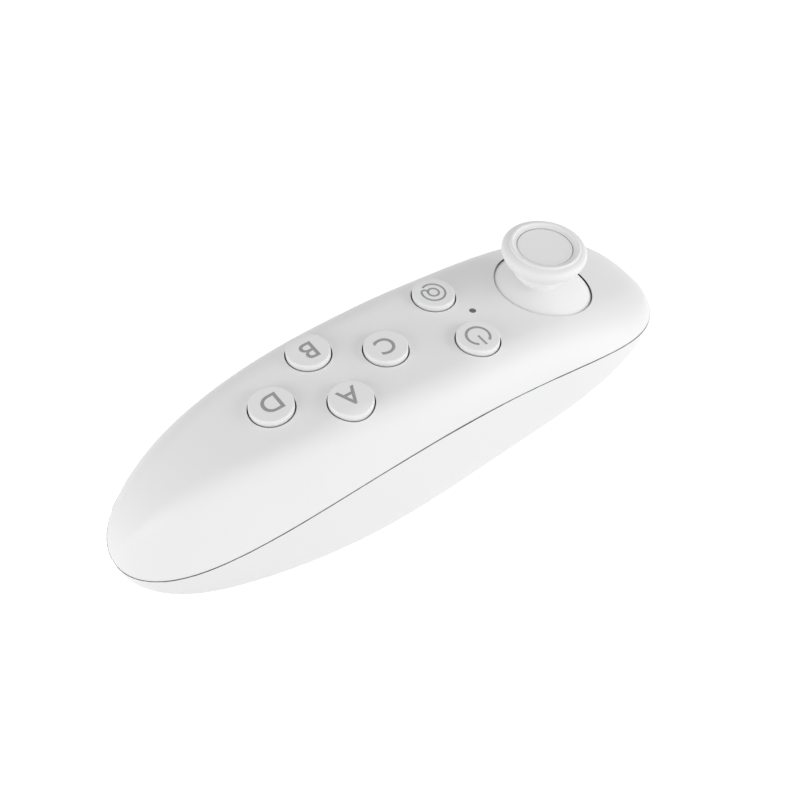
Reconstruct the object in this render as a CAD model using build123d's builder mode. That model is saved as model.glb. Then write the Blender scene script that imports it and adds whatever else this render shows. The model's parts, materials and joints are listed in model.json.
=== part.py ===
from build123d import *
from math import atan, comb, cos, degrees, pi, radians, sin, sqrt
import os

# Hand-held thumbstick remote. Millimetres, nose towards +X, thumb side up.
# The origin is the middle of the footprint, on the flat of the belly.

# Overall form
length = 131.0
half_width = 19.0
wall = 1.8
parting_gap = 0.15
fit_gap = 0.1
travel_gap = 0.3

# Pole heights, tail to nose, of the curves that shape the grip
tip_height = 25.0
plan_poles = (1.43, 1.04, 0.99, 0.91, 0.80, 2.08)
parting_rise = (0.0, 7.8, 13.2, 10.2, 5.7, 0.0)
crown_height = (24.4, 15.0, 4.3, 8.0, 10.0, 8.3)
belly_depth = (19.1, 31.6, 24.8, 52.9, 27.9, 25.7, 46.7, 6.4)
crease_share = (0.33, 0.64, 0.80, 0.72, 0.56)
belly_fullness = (0.82, 0.65, 0.86, 0.63, 0.80, 0.63)
crease_softness = 3.0
crease_limit = 0.45
wall_bulge = 1.2
bulge_direction = (0.8, 0.6)
bulge_place = 0.6
bulge_full_width = 8.0
foot_slant = 1.15
crease_slant = 0.55
form_stations = 14
tip_angle = 0.045
hollow_skirt = 3.0
core_skirt = 20.0
lip_depth = 1.5
lip_root = 1.0
lip_wall = 0.8
lip_back = -50.0
lip_front = 48.0

# Thumb buttons
button_hole_radius = 4.77
button_gap = 0.3
button_rise = 1.3
button_round = 0.35
button_travel = 0.6
flange_width = 0.9
flange_thickness = 1.2
stem_radius = 1.5
button_spots = {
    "a": (-14.7, -7.5),
    "b": (-14.7, 7.5),
    "c": (-1.3, 0.0),
    "d": (-27.9, 0.0),
    "mode": (16.1, 7.5),
    "power": (16.1, -7.5),
}

# Key switches, on the main board and behind the triggers
switch_size = 6.0
switch_height = 3.4
plunger_radius = 1.7
plunger_rise = 0.9
plunger_depth = 1.4
plunger_gap = 0.15

# Main board
board_thickness = 1.2
board_top = 33.0
board_back = -37.0
board_front = 21.7
board_half_width = 13.5
board_corner = 3.0

# Radio module and chips under the main board
radio_x = -12.0
radio_length = 11.0
radio_width = 16.0
radio_antenna = 4.0
radio_board_thickness = 0.8
radio_shield_height = 1.6
radio_shield_edge = 0.5
chip_height = 0.9
chip_spots = (
    (0.0, 0.0, 6.0, 6.0),
    (0.5, 8.5, 3.2, 2.5),
    (16.0, 7.0, 4.0, 3.0),
    (-30.0, 0.0, 5.0, 4.0),
)

# Status light
light_x = 20.6
light_radius = 0.65
light_recess = 0.3
lamp_height = 0.8

# Thumbstick. Its domed skirt turns about the pivot and fills the opening in the thumb face.
stick_x = 36.7
stick_lean = 6.3
dome_rise = 3.13
skirt_radius = 15.95
skirt_gap = 0.35
skirt_wall = 1.0
skirt_angle = 66.0
opening_lean = 16.0
opening_gap = 0.8
hub_radius = 2.6
hub_bottom = 9.0
neck_radius = 4.4
neck_rise = 1.05
shaft_radius = 1.2
shaft_bottom = -3.5
shaft_reach = 4.0

# Thumbstick cap. Heights, and the points given as radius and height, are over the collar's foot.
collar_radius = 5.95
collar_height = 1.3
collar_edge = 0.35
cap_foot_radius = 6.05
cap_waist = (10.0, 4.5)
cap_bulge = (9.4, 6.6)
cap_shoulder_radius = 7.5
cap_height = 6.75
cap_ring_radius = 7.1
cap_ring_rise = 0.34
cap_dish = (6.3, 6.45)
pad_radius = 5.83
pad_height = 6.45
pad_thickness = 0.9
pad_edge = 0.2

# Thumbstick module
frame_half = 6.5
frame_wall = 0.8
frame_top = 3.2
frame_floor = -5.5
axle_radius = 1.0
axle_reach = 7.4
rocker_half_x = 3.0
rocker_half_y = 4.3
rocker_half_height = 1.5
rocker_slot_x = 1.6
rocker_slot_y = 3.3
cross_pin_radius = 0.7
arc_inner = 3.9
arc_outer = 5.0
arc_half_width = 2.0
arc_slot_x = 3.2
arc_slot_y = 1.45
sensor_depth = 3.0
sensor_half_width = 4.5
sensor_top = 4.0
wire_sides = 6
spring_radius = 3.7
spring_wire = 0.45
spring_seat_top = -2.4
spring_seat_thickness = 0.5
spring_seat_bore = 2.8
spring_turns = 2.0
stick_board_thickness = 1.0
stick_board_back = -12.0
stick_board_front = 6.6
stick_board_half_width = 11.0
stick_board_corner = 1.0
stick_board_screw_spots = ((-9.5, 9.0), (-9.5, -9.0), (4.0, -9.0))

# Triggers under the nose
trigger_x = 53.5
trigger_height = 14.3
trigger_slope = 34.4
trigger_half_width = 7.3
trigger_corner = 2.0
trigger_rise = 1.6
trigger_travel = 0.6
trigger_wall = 1.5
trigger_depth = 3.2
trigger_spans = {"lower": (-8.5, -0.4), "upper": (0.6, 7.6)}
trigger_switch_spots = {"lower": -3.5, "upper": 4.4}
trigger_board_depth = 8.0
trigger_board_thickness = 1.0
trigger_board_span = (-6.6, 7.8)
trigger_board_ear = (-5.8, -2.6)
trigger_board_half_width = 7.4
trigger_board_ear_half_width = 11.8
trigger_board_screw_spots = ((-4.2, 10.0), (-4.2, -10.0))

# Flexible strips that join the small boards to the main board
flex_thickness = 0.2
flex_half_width = 1.8
flex_bend = 1.2
flex_margin = 0.2
stick_flex_run = 1.6
stick_flex_rise_x = 20.5
stick_flex_end_x = 16.0
trigger_flex_y = 5.2
trigger_flex_start = -2.0
trigger_flex_run = 1.0
trigger_flex_landing = 3.5
trigger_flex_end = 0.0

# Cells and their compartment
cell_radius = 5.25
cell_length = 44.5
cell_button_radius = 1.9
cell_button_height = 1.0
cell_gap = 0.2
cell_height = 11.0
cell_side_gap = 0.3
cell_roof_gap = 0.35
cell_edge = 0.5
bay_middle = 2.0
bay_wall = 1.6
bay_roof_thickness = 1.4
contact_thickness = 0.4
contact_half_width = 4.4
contact_height = 7.6
contact_bump = 1.1
contact_bump_radius = 2.2
bump_taper = 20
contact_spring_height = 3.6
contact_spring_radius = 3.2
contact_spring_tip = 1.6
contact_spring_wire = 0.6
contact_spring_turns = 3.0
tab_half_width = 1.2

# Battery door
door_thickness = 1.6
door_gap = 0.2
door_corner = 2.5
door_land = 1.2
door_tab_spacing = 28.0
door_tab_length = 8.0
door_tab_wall = 1.0
door_tab_top = 7.4
groove_inset = 4.0
groove_length = 11.0
groove_width = 2.0
groove_depth = 0.7

# Fasteners
screw_radius = 1.0
screw_head_radius = 1.9
screw_head_height = 1.4
screw_length = 9.0
pilot_gap = 0.05
clearance_gap = 0.2
boss_radius = 2.3
post_radius = 3.3
pilot_spare = 0.5
pilot_depth = 4.5
tail_screw = (-45.5, 0.0)
tail_screw_seat = 27.0
bay_screw = (8.0, 0.0)
nose_screw = (51.5, 12.0)
nose_screw_seat = 24.0
post_floor = 5.0
board_post_radius = 1.8
board_screw_radius = 0.8
board_screw_head_radius = 1.6
board_screw_head_height = 1.0
board_screw_length = 5.0
board_screw_spots = ((-33.5, 8.5), (-33.5, -8.5), (5.5, 11.0), (5.5, -11.0))

os.makedirs("parts", exist_ok=True)


def blend(poles, share):
    """Smooth curve that runs from the first pole height to the last."""
    last = len(poles) - 1
    weights = (comb(last, i) * share**i * (1 - share) ** (last - i) for i in range(last + 1))
    return sum(weight * pole for weight, pole in zip(weights, poles))


def rounded(poles, share):
    """The same curve with a round end at the tail and at the nose."""
    return 2 * sqrt(share * (1 - share)) * blend(poles, share)


def share_of(x):
    return x / length + 0.5


def parting_height(x):
    return tip_height + blend(parting_rise, share_of(x))


def crown(x):
    """Height of the flat thumb face at x."""
    return parting_height(x) + rounded(crown_height, share_of(x))


def keel_height(x):
    """Height of the belly's middle line at x."""
    return parting_height(x) - rounded(belly_depth, share_of(x))


def mirrored(point):
    return Vector(-point.X, point.Y)


def stations(inset):
    """Places along the grip, closer together towards its round ends."""
    for i in range(form_stations + 1):
        angle = tip_angle + (pi - 2 * tip_angle) * i / form_stations
        yield (inset - length / 2) * cos(angle)


def upper_form(inset, skirt=0.0):
    """Thumb half of the grip, inset from its skin and carried on below the parting line."""
    profiles = []
    for x in stations(inset):
        share = share_of(x)
        skin_side = half_width * rounded(plan_poles, share)
        side = skin_side - foot_slant * inset
        crease = skin_side * blend(crease_share, share) - crease_slant * inset
        split_height = parting_height(x)
        corner = Vector(crease, crown(x) - inset)
        foot = Vector(side, split_height)
        softness = min(crease_softness, crease_limit * crease)
        outward = Vector(*bulge_direction) * wall_bulge * min(1.0, crease / bulge_full_width)
        middle = corner + (foot - corner) * bulge_place + outward
        flat_end = corner - Vector(softness, 0)
        wall_start = corner + (middle - corner).normalized() * softness
        base = foot - Vector(0, skirt)
        with BuildSketch(Plane.YZ.offset(x)) as profile:
            with BuildLine():
                Line(mirrored(flat_end), flat_end)
                Bezier(flat_end, corner, wall_start)
                Bezier(wall_start, middle, foot)
                if skirt:
                    Line(foot, base)
                Line(base, mirrored(base))
                if skirt:
                    Line(mirrored(base), mirrored(foot))
                Bezier(mirrored(foot), mirrored(middle), mirrored(wall_start))
                Bezier(mirrored(wall_start), mirrored(corner), mirrored(flat_end))
            make_face()
        profiles.append(profile.sketch)
    with BuildPart() as form:
        loft(profiles)
    return form.part


def lower_form(inset, rim=0.0):
    """Palm half of the grip, inset from its skin, its rim set above or below the parting line."""
    profiles = []
    for x in stations(inset):
        share = share_of(x)
        side = half_width * rounded(plan_poles, share) - inset
        split_height = parting_height(x)
        bottom = keel_height(x) + inset
        depth = split_height - bottom
        fullness = blend(belly_fullness, share)
        foot = Vector(side, split_height + min(rim, 0.0))
        hip = Vector(side, split_height - fullness * depth)
        floor = Vector(fullness * side, bottom)
        keel = Vector(0, bottom)
        rim_end = Vector(side, split_height + rim)
        with BuildSketch(Plane.YZ.offset(x)) as profile:
            with BuildLine():
                Line(mirrored(rim_end), rim_end)
                if rim > 0:
                    Line(rim_end, foot)
                Bezier(foot, hip, floor, keel)
                Bezier(keel, mirrored(floor), mirrored(hip), mirrored(foot))
                if rim > 0:
                    Line(mirrored(foot), mirrored(rim_end))
            make_face()
        profiles.append(profile.sketch)
    with BuildPart() as form:
        loft(profiles)
    return form.part


def rim_band(inset, low, high):
    """Flat band that follows the parting line all round, inset from the skin."""
    profiles = []
    for x in stations(inset):
        side = half_width * rounded(plan_poles, share_of(x)) - inset
        middle = parting_height(x)
        with BuildSketch(Plane.YZ.offset(x)) as profile:
            with Locations((0, middle + (low + high) / 2)):
                Rectangle(2 * side, high - low)
        profiles.append(profile.sketch)
    with BuildPart() as band:
        loft(profiles)
    return band.part


def finish(piece, name):
    piece.part.label = name
    export_step(piece.part, f"parts/{name}.step")


def tilted(angle):
    """Direction that leans from straight up towards the nose by an angle in degrees."""
    return Vector(sin(radians(angle)), 0, cos(radians(angle)))


# Frames of the thumbstick and of the triggers
face_height = skirt_radius - dome_rise
stick_height = crown(stick_x) - face_height
opening_radius = sqrt((skirt_radius + skirt_gap) ** 2 - face_height**2) + opening_gap
neck_top = skirt_radius + neck_rise
stick_pivot = Vector(stick_x, 0, stick_height)
stick_along = tilted(stick_lean + 90)
stick_plane = Plane(origin=stick_pivot, x_dir=stick_along, z_dir=tilted(stick_lean))
stick_profile = Plane(origin=stick_pivot, x_dir=stick_along, z_dir=(0, -1, 0))
stick_axis = Axis(stick_pivot, tilted(stick_lean))
cap_foot = stick_pivot + tilted(stick_lean) * neck_top
cap_profile = Plane(origin=cap_foot, x_dir=stick_along, z_dir=(0, -1, 0))
trigger_out = tilted(180 - trigger_slope)
trigger_plane = Plane(
    origin=(trigger_x, 0, trigger_height), x_dir=tilted(90 - trigger_slope), z_dir=trigger_out
)

# Heights that several pieces share
board_bottom = board_top - board_thickness
switch_top = board_top + switch_height
plunger_top = switch_top + plunger_rise
stick_board_top = frame_floor
stick_board_bottom = stick_board_top - stick_board_thickness
cell_spacing = 2 * cell_radius + cell_gap
bay_length = cell_length + contact_spring_height + contact_bump + 2 * contact_thickness
bay_half_width = cell_spacing / 2 + cell_radius + cell_side_gap
bay_ceiling = cell_height + cell_radius + cell_roof_gap
bay_roof = bay_ceiling + bay_roof_thickness
bay_back = bay_middle - bay_length / 2
bay_front = bay_middle + bay_length / 2
door_length = bay_length + 2 * door_land
door_width = 2 * (bay_half_width + door_land)
shell_screw_spots = (
    (*tail_screw, tail_screw_seat, post_floor),
    (*bay_screw, bay_roof, bay_roof_thickness),
    (*nose_screw, nose_screw_seat, post_floor),
    (nose_screw[0], -nose_screw[1], nose_screw_seat, post_floor),
)

# Skins and hollows of the two halves
upper_skin = upper_form(0.0)
upper_hollow = upper_form(wall, skirt=hollow_skirt)
upper_core = upper_form(wall / 2, skirt=core_skirt)
with BuildPart() as flat_bottomed:
    add(lower_form(0.0, rim=-parting_gap))
    split(bisect_by=Plane.XY, keep=Keep.TOP)
lower_skin = flat_bottomed.part
lower_hollow = lower_form(wall, rim=hollow_skirt)
lower_core = lower_form(wall / 2)
door_seat = lower_form(door_thickness + fit_gap)
door_hollow = lower_form(door_thickness)

# Lip of the top shell that drops inside the rim of the bottom shell
with BuildPart() as lip:
    add(rim_band(wall + fit_gap, -lip_depth, lip_root))
    add(rim_band(wall + fit_gap + lip_wall, -2 * lip_depth, 2 * lip_root), mode=Mode.SUBTRACT)
    with BuildSketch(Plane.XY):
        with Locations(((lip_back + lip_front) / 2, 0)):
            Rectangle(lip_front - lip_back, length)
    extrude(amount=length, mode=Mode.INTERSECT)

# Screw bosses and board posts under the thumb face
with BuildPart() as bosses:
    for x, y, seat, _ in shell_screw_spots:
        with BuildSketch(Plane.XY.offset(seat)):
            with Locations((x, y)):
                Circle(boss_radius)
        extrude(amount=length)
    with BuildSketch(Plane.XY.offset(board_top)):
        with Locations(*board_screw_spots):
            Circle(board_post_radius)
    extrude(amount=length)
    add(upper_core, mode=Mode.INTERSECT)

with BuildPart() as top_shell:
    add(upper_skin)
    add(upper_hollow, mode=Mode.SUBTRACT)
    add(lip.part)
    add(bosses.part)
    for x, y, seat, floor in shell_screw_spots:
        with BuildSketch(Plane.XY.offset(seat)):
            with Locations((x, y)):
                Circle(screw_radius + pilot_gap)
        extrude(amount=screw_length - floor + pilot_spare, mode=Mode.SUBTRACT)
    with BuildSketch(Plane.XY.offset(board_top)):
        with Locations(*board_screw_spots):
            Circle(board_screw_radius + pilot_gap)
    extrude(amount=board_screw_length - board_thickness + pilot_spare, mode=Mode.SUBTRACT)
    with BuildSketch(Plane.XY.offset(plunger_top)):
        with Locations(*button_spots.values()):
            Circle(button_hole_radius)
        with Locations((light_x, 0)):
            Circle(light_radius + fit_gap)
    extrude(amount=length, mode=Mode.SUBTRACT)
    with BuildSketch(Plane(origin=stick_pivot, z_dir=tilted(opening_lean))):
        Circle(opening_radius)
    extrude(amount=length, mode=Mode.SUBTRACT)
    with Locations(stick_pivot):
        Sphere(skirt_radius + skirt_gap, mode=Mode.SUBTRACT)
finish(top_shell, "top_shell")

# Walls and roof of the battery bay
with BuildPart() as bay:
    with BuildSketch(Plane.XY):
        with Locations((bay_middle, 0)):
            Rectangle(bay_length + 2 * bay_wall, 2 * (bay_half_width + bay_wall))
    extrude(amount=bay_roof)
    add(lower_core, mode=Mode.INTERSECT)

# Cut that takes the battery door, down to the ends of the bay walls
with BuildPart() as door_window:
    with BuildSketch(Plane.XY.offset(-wall)):
        with Locations((bay_middle, 0)):
            RectangleRounded(door_length + 2 * door_gap, door_width + 2 * door_gap, door_corner)
    extrude(amount=bay_ceiling)
    add(door_seat, mode=Mode.SUBTRACT)

# Posts that carry the shell screws and the two small boards
with BuildPart() as posts:
    for x, y, seat, _ in shell_screw_spots:
        if seat > bay_roof:
            with BuildSketch(Plane.XY):
                with Locations((x, y)):
                    Circle(post_radius)
            extrude(amount=seat)
    with BuildSketch(stick_plane.offset(stick_board_bottom)):
        with Locations(*stick_board_screw_spots):
            Circle(board_post_radius)
    extrude(amount=-length)
    with BuildSketch(trigger_plane.offset(-trigger_board_depth)):
        with Locations(*trigger_board_screw_spots):
            Circle(board_post_radius)
    extrude(amount=length)
    add(lower_core, mode=Mode.INTERSECT)

with BuildPart() as bottom_shell:
    add(lower_skin)
    add(lower_hollow, mode=Mode.SUBTRACT)
    add(bay.part)
    add(posts.part)
    with BuildSketch(Plane.XY.offset(-wall)):
        with Locations((bay_middle, 0)):
            Rectangle(bay_length, 2 * bay_half_width)
    extrude(amount=bay_ceiling + wall, mode=Mode.SUBTRACT)
    add(door_window.part, mode=Mode.SUBTRACT)
    for x, y, seat, floor in shell_screw_spots:
        with BuildSketch(Plane.XY):
            with Locations((x, y)):
                Circle(screw_radius + clearance_gap)
        extrude(amount=seat, mode=Mode.SUBTRACT)
        if seat > bay_roof:
            with BuildSketch(Plane.XY):
                with Locations((x, y)):
                    Circle(screw_head_radius + clearance_gap)
            extrude(amount=seat - floor, mode=Mode.SUBTRACT)
    with BuildSketch(stick_plane.offset(stick_board_bottom)):
        with Locations(*stick_board_screw_spots):
            Circle(board_screw_radius + pilot_gap)
    extrude(amount=-pilot_depth, mode=Mode.SUBTRACT)
    with BuildSketch(trigger_plane.offset(-trigger_board_depth)):
        with Locations(*trigger_board_screw_spots):
            Circle(board_screw_radius + pilot_gap)
    extrude(amount=pilot_depth, mode=Mode.SUBTRACT)
    with BuildSketch(Plane.XY.offset(bay_ceiling)):
        for side in (-1, 1):
            with Locations((bay_back + contact_thickness / 2, side * cell_spacing / 2)):
                Rectangle(contact_thickness + clearance_gap, 2 * (tab_half_width + clearance_gap))
    extrude(amount=bay_roof_thickness, mode=Mode.SUBTRACT)
    low, high = trigger_spans["lower"][0], trigger_spans["upper"][1]
    with BuildSketch(trigger_plane.offset(-trigger_board_depth / 2)):
        with Locations(((low + high) / 2, 0)):
            RectangleRounded(
                high - low + 2 * travel_gap,
                2 * (trigger_half_width + travel_gap),
                trigger_corner + travel_gap,
            )
    extrude(amount=length, mode=Mode.SUBTRACT)
finish(bottom_shell, "bottom_shell")

with BuildPart() as door_tabs:
    with BuildSketch(Plane.XY):
        with Locations((bay_middle, 0)):
            with GridLocations(door_tab_spacing, 2 * (bay_half_width - fit_gap) - door_tab_wall, 2, 2):
                Rectangle(door_tab_length, door_tab_wall)
    extrude(amount=door_tab_top)
    add(lower_skin, mode=Mode.INTERSECT)

with BuildPart() as battery_door:
    with BuildSketch(Plane.XY):
        with Locations((bay_middle, 0)):
            RectangleRounded(door_length, door_width, door_corner)
    extrude(amount=bay_ceiling)
    add(lower_skin, mode=Mode.INTERSECT)
    add(door_hollow, mode=Mode.SUBTRACT)
    add(door_tabs.part)
    groove_x = bay_middle - door_length / 2 + groove_inset
    with BuildSketch(Plane.XY):
        with Locations((groove_x, 0)):
            SlotOverall(groove_length, groove_width, rotation=90)
    extrude(amount=keel_height(groove_x) + groove_depth, mode=Mode.SUBTRACT)
finish(battery_door, "battery_door")

# Thumb buttons with their switch plungers
for name, (x, y) in button_spots.items():
    flange_base = crown(x) - wall - travel_gap - flange_thickness
    with BuildPart() as flange:
        with BuildSketch(Plane.XY.offset(flange_base)):
            with Locations((x, y)):
                Circle(button_hole_radius + flange_width)
        extrude(amount=length)
        add(upper_hollow.moved(Location((0, 0, -travel_gap))), mode=Mode.INTERSECT)
    with BuildPart() as button:
        with BuildSketch(Plane.XY.offset(flange_base)):
            with Locations((x, y)):
                Circle(button_hole_radius - button_gap)
        extrude(amount=length)
        add(upper_skin.moved(Location((0, 0, button_rise))), mode=Mode.INTERSECT)
        fillet(button.edges().filter_by(lambda edge: edge.center().Z > crown(x)), button_round)
        add(flange.part)
        with BuildSketch(Plane.XY.offset(plunger_top)):
            with Locations((x, y)):
                Circle(stem_radius)
        extrude(amount=flange_base - plunger_top)
    finish(button, f"button_{name}")

    with BuildPart() as plunger:
        with BuildSketch(Plane.XY.offset(switch_top - plunger_depth)):
            with Locations((x, y)):
                Circle(plunger_radius)
        extrude(amount=plunger_depth + plunger_rise)
    finish(plunger, f"plunger_{name}")

with BuildPart() as key_switches:
    with BuildSketch(Plane.XY.offset(board_top)):
        with Locations(*button_spots.values()):
            Rectangle(switch_size, switch_size)
    extrude(amount=switch_height)
    with BuildSketch(Plane.XY.offset(switch_top)):
        with Locations(*button_spots.values()):
            Circle(plunger_radius + plunger_gap)
    extrude(amount=-(plunger_depth + button_travel + plunger_gap), mode=Mode.SUBTRACT)
finish(key_switches, "key_switches")

# Main board and what it carries
board_middle = (board_back + board_front) / 2
with BuildPart() as main_board:
    with BuildSketch(Plane.XY.offset(board_bottom)):
        with Locations((board_middle, 0)):
            RectangleRounded(board_front - board_back, 2 * board_half_width, board_corner)
        with Locations(*board_screw_spots):
            Circle(board_screw_radius + fit_gap, mode=Mode.SUBTRACT)
        for x, y, seat, _ in shell_screw_spots:
            if board_back < x < board_front:
                with Locations((x, y)):
                    Circle(boss_radius + clearance_gap, mode=Mode.SUBTRACT)
    extrude(amount=board_thickness)
finish(main_board, "main_board")

with BuildPart() as status_lamp:
    with BuildSketch(Plane.XY.offset(board_top)):
        with Locations((light_x, 0)):
            Rectangle(lamp_height, 2 * lamp_height)
    extrude(amount=lamp_height)
finish(status_lamp, "status_lamp")

with BuildPart() as light_pipe:
    lamp_top = board_top + lamp_height
    with BuildSketch(Plane.XY.offset(lamp_top)):
        with Locations((light_x, 0)):
            Circle(light_radius)
    extrude(amount=crown(light_x) - light_recess - lamp_top)
    with BuildSketch(Plane.XY.offset(crown(light_x) - wall - travel_gap)):
        with Locations((light_x, 0)):
            Circle(2 * light_radius)
    extrude(amount=-lamp_height)
finish(light_pipe, "light_pipe")

with BuildPart() as radio_board:
    with BuildSketch(Plane.XY.offset(board_bottom)):
        with Locations((radio_x, 0)):
            Rectangle(radio_length, radio_width)
    extrude(amount=-radio_board_thickness)
finish(radio_board, "radio_board")

with BuildPart() as radio_shield:
    with BuildSketch(Plane.XY.offset(board_bottom - radio_board_thickness)):
        with Locations((radio_x, -radio_antenna / 2)):
            RectangleRounded(
                radio_length - 2 * radio_shield_edge,
                radio_width - radio_antenna,
                radio_shield_edge,
            )
    extrude(amount=-radio_shield_height)
finish(radio_shield, "radio_shield")

with BuildPart() as board_chips:
    with BuildSketch(Plane.XY.offset(board_bottom)):
        for x, y, chip_length, chip_width in chip_spots:
            with Locations((x, y)):
                Rectangle(chip_length, chip_width)
    extrude(amount=-chip_height)
finish(board_chips, "board_chips")

# Thumbstick: what the thumb moves
with BuildPart() as stick_skirt:
    inner = skirt_radius - skirt_wall
    rim_turn = radians(skirt_angle)
    neck_foot = sqrt(skirt_radius**2 - neck_radius**2)
    hub_foot = sqrt(inner**2 - hub_radius**2)
    with BuildSketch(stick_profile):
        with BuildLine():
            Line((shaft_radius + fit_gap / 2, hub_bottom), (hub_radius, hub_bottom))
            Line((hub_radius, hub_bottom), (hub_radius, hub_foot))
            RadiusArc(
                (hub_radius, hub_foot), (inner * sin(rim_turn), inner * cos(rim_turn)), inner
            )
            Line(
                (inner * sin(rim_turn), inner * cos(rim_turn)),
                (skirt_radius * sin(rim_turn), skirt_radius * cos(rim_turn)),
            )
            RadiusArc(
                (skirt_radius * sin(rim_turn), skirt_radius * cos(rim_turn)),
                (neck_radius, neck_foot),
                -skirt_radius,
            )
            Line((neck_radius, neck_foot), (neck_radius, neck_top))
            Line((neck_radius, neck_top), (shaft_radius + fit_gap / 2, neck_top))
            Line((shaft_radius + fit_gap / 2, neck_top), (shaft_radius + fit_gap / 2, hub_bottom))
        make_face()
    revolve(axis=stick_axis)
finish(stick_skirt, "stick_skirt")

with BuildPart() as stick_cap:
    shoulder = (cap_shoulder_radius, cap_height)
    ring_top = (cap_ring_radius, cap_height + cap_ring_rise)
    ring_foot = (2 * cap_ring_radius - cap_shoulder_radius, cap_height)
    pad_floor = pad_height - pad_thickness
    pad_seat = pad_radius + fit_gap
    with BuildSketch(cap_profile):
        with BuildLine():
            Line((0, 0), (collar_radius, 0))
            Line((collar_radius, 0), (collar_radius, collar_height))
            Line((collar_radius, collar_height), (cap_foot_radius, collar_height))
            Bezier((cap_foot_radius, collar_height), cap_waist, cap_bulge, shoulder)
            ThreePointArc(shoulder, ring_top, ring_foot)
            Bezier(ring_foot, cap_dish, (pad_seat, pad_height))
            Line((pad_seat, pad_height), (pad_seat, pad_floor))
            Line((pad_seat, pad_floor), (0, pad_floor))
            Line((0, pad_floor), (0, 0))
        make_face()
    revolve(axis=stick_axis)
    fillet(stick_cap.edges().group_by(stick_axis)[0], collar_edge)
    with BuildSketch(stick_plane.offset(neck_top)):
        Circle(shaft_radius + fit_gap / 2)
    extrude(amount=shaft_reach + fit_gap, mode=Mode.SUBTRACT)
finish(stick_cap, "stick_cap")

with BuildPart() as stick_pad:
    with BuildSketch(stick_plane.offset(neck_top + pad_floor)):
        Circle(pad_radius)
    extrude(amount=pad_thickness)
    fillet(stick_pad.edges().group_by(stick_axis)[-1], pad_edge)
finish(stick_pad, "stick_pad")

with BuildPart() as stick_shaft:
    with BuildSketch(stick_plane.offset(shaft_bottom)):
        Circle(shaft_radius)
    extrude(amount=neck_top + shaft_reach - shaft_bottom)
    with BuildSketch(Plane(origin=stick_pivot, x_dir=(0, 1, 0), z_dir=stick_along)):
        Circle(cross_pin_radius)
    extrude(amount=rocker_half_x, both=True)
finish(stick_shaft, "stick_shaft")

# Thumbstick: the two rockers, their frame and sensors
with BuildPart() as fore_aft_rocker:
    with BuildSketch(stick_plane.offset(-rocker_half_height)):
        Rectangle(2 * rocker_half_x, 2 * rocker_half_y)
        Rectangle(2 * rocker_slot_x, 2 * rocker_slot_y, mode=Mode.SUBTRACT)
    extrude(amount=2 * rocker_half_height)
    for side in (-1, 1):
        axle_foot = stick_pivot + Vector(0, side * rocker_half_y, 0)
        with BuildSketch(Plane(origin=axle_foot, z_dir=(0, side, 0))):
            Circle(axle_radius)
        extrude(amount=axle_reach - rocker_half_y)
    with BuildSketch(Plane(origin=stick_pivot, x_dir=(0, 1, 0), z_dir=stick_along)):
        Circle(cross_pin_radius + fit_gap)
    extrude(amount=2 * rocker_half_x, both=True, mode=Mode.SUBTRACT)
finish(fore_aft_rocker, "fore_aft_rocker")

with BuildPart() as side_arc:
    with BuildSketch(stick_profile):
        Circle(arc_outer)
        Circle(arc_inner, mode=Mode.SUBTRACT)
        with Locations((0, -arc_outer / 2 - axle_radius)):
            Rectangle(2 * arc_outer, arc_outer, mode=Mode.SUBTRACT)
    extrude(amount=arc_half_width, both=True)
    with BuildSketch(stick_plane):
        Rectangle(2 * arc_slot_x, 2 * arc_slot_y)
    extrude(amount=2 * arc_outer, mode=Mode.SUBTRACT)
    axle_start = (arc_inner + arc_outer) / 2
    for side in (-1, 1):
        axle_foot = stick_pivot + stick_along * (side * axle_start)
        with BuildSketch(Plane(origin=axle_foot, z_dir=stick_along * side)):
            Circle(axle_radius)
        extrude(amount=axle_reach - axle_start)
finish(side_arc, "side_arc")

with BuildPart() as stick_frame:
    with BuildSketch(stick_plane.offset(frame_floor)):
        Rectangle(2 * frame_half, 2 * frame_half)
    extrude(amount=frame_top - frame_floor)
    with BuildSketch(stick_plane.offset(frame_floor + frame_wall)):
        Rectangle(2 * (frame_half - frame_wall), 2 * (frame_half - frame_wall))
    extrude(amount=frame_top - frame_floor, mode=Mode.SUBTRACT)
    with BuildSketch(stick_profile):
        Circle(axle_radius + fit_gap)
    extrude(amount=2 * frame_half, both=True, mode=Mode.SUBTRACT)
    with BuildSketch(Plane(origin=stick_pivot, x_dir=(0, 1, 0), z_dir=stick_along)):
        Circle(axle_radius + fit_gap)
    extrude(amount=2 * frame_half, both=True, mode=Mode.SUBTRACT)
finish(stick_frame, "stick_frame")

with BuildPart() as fore_aft_sensor:
    sensor_height = sensor_top - frame_floor
    with BuildSketch(stick_plane.offset(frame_floor)):
        with Locations((0, frame_half + sensor_depth / 2)):
            Rectangle(2 * sensor_half_width, sensor_depth)
    extrude(amount=sensor_height)
    with BuildSketch(stick_profile):
        Circle(axle_radius + fit_gap)
    extrude(amount=-(axle_reach + fit_gap), mode=Mode.SUBTRACT)
finish(fore_aft_sensor, "fore_aft_sensor")

with BuildPart() as side_sensor:
    with BuildSketch(stick_plane.offset(frame_floor)):
        with Locations((-frame_half - sensor_depth / 2, 0)):
            Rectangle(sensor_depth, 2 * sensor_half_width)
    extrude(amount=sensor_height)
    with BuildSketch(Plane(origin=stick_pivot, x_dir=(0, 1, 0), z_dir=-stick_along)):
        Circle(axle_radius + fit_gap)
    extrude(amount=axle_reach + fit_gap, mode=Mode.SUBTRACT)
finish(side_sensor, "side_sensor")

with BuildPart() as spring_seat:
    with BuildSketch(stick_plane.offset(spring_seat_top)):
        Circle(spring_radius + spring_wire)
        Circle(spring_seat_bore, mode=Mode.SUBTRACT)
    extrude(amount=-spring_seat_thickness)
finish(spring_seat, "spring_seat")

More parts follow.
